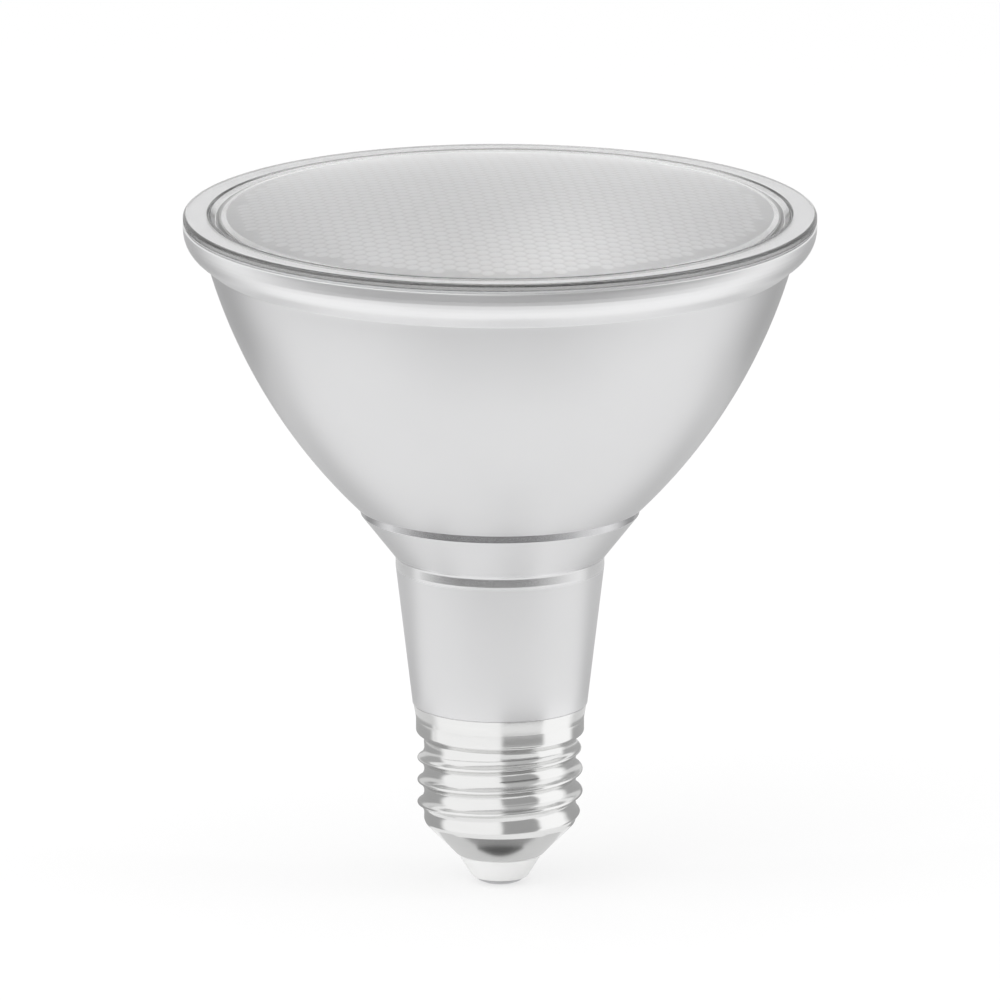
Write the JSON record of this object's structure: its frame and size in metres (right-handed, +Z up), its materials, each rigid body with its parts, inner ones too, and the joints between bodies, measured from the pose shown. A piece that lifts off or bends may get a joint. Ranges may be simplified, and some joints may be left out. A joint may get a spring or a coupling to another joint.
{
  "type": "par spotlight bulb",
  "caption": "Reflector spotlight bulb with a silvered glass bowl, a clear domed lens, a tapered neck and an Edison screw cap, lit by an LED module with its driver in the neck",
  "frame": {"origin": "tip of the centre contact, on the lamp's axis", "axes": "+Z runs up the lamp's axis from the screw cap to the lens; X and Y lie in the plane of the rim"},
  "size_m": [0.101, 0.101, 0.1135],
  "materials": {
    "clear_glass": "clear pressed glass with a honeycomb of lenslets",
    "silvered_glass": "satin silver coat over pressed glass",
    "seal": "translucent silicone bead",
    "aluminium": "turned aluminium",
    "pad": "soft grey pad",
    "board_white": "white solder mask",
    "emitter": "yellow phosphor",
    "screw_steel": "plated steel",
    "sleeve_white": "moulded insulating plastic",
    "board_green": "green solder mask",
    "can_black": "shrink sleeve on an aluminium can",
    "ferrite": "dark ferrite",
    "tape_yellow": "yellow insulating tape",
    "box_red": "moulded plastic box",
    "chip_black": "moulded epoxy",
    "resistor_blue": "lacquered ceramic",
    "lead_red": "insulated wire",
    "lead_black": "insulated wire",
    "lead_brown": "insulated wire",
    "lead_blue": "insulated wire",
    "cement": "pale cement",
    "nickel": "bright nickel plate",
    "insulator_white": "smooth white insulator",
    "contact_metal": "tinned contact"
  },
  "bodies": {
    "root": {"front_lens": "clear_glass", "lens_seal": "seal", "reflector": "silvered_glass", "heat_sink": "aluminium", "thermal_pad": "pad", "led_board": "board_white", "led_packages": "emitter", "board_screws": "screw_steel", "driver_sleeve": "sleeve_white", "driver_board": "board_green", "smoothing_capacitor": "can_black", "transformer_core": "ferrite", "transformer_winding": "tape_yellow", "film_capacitor": "box_red", "filter_choke": "ferrite", "bridge_rectifier": "chip_black", "driver_chip": "chip_black", "fuse_resistor": "resistor_blue", "led_lead_negative": "lead_black", "led_lead_positive": "lead_red", "live_lead": "lead_brown", "neutral_lead": "lead_blue", "cap_cement": "cement", "cap_shell": "nickel", "cap_insulator": "insulator_white", "centre_contact": "contact_metal"}
  },
  "joints": []
}
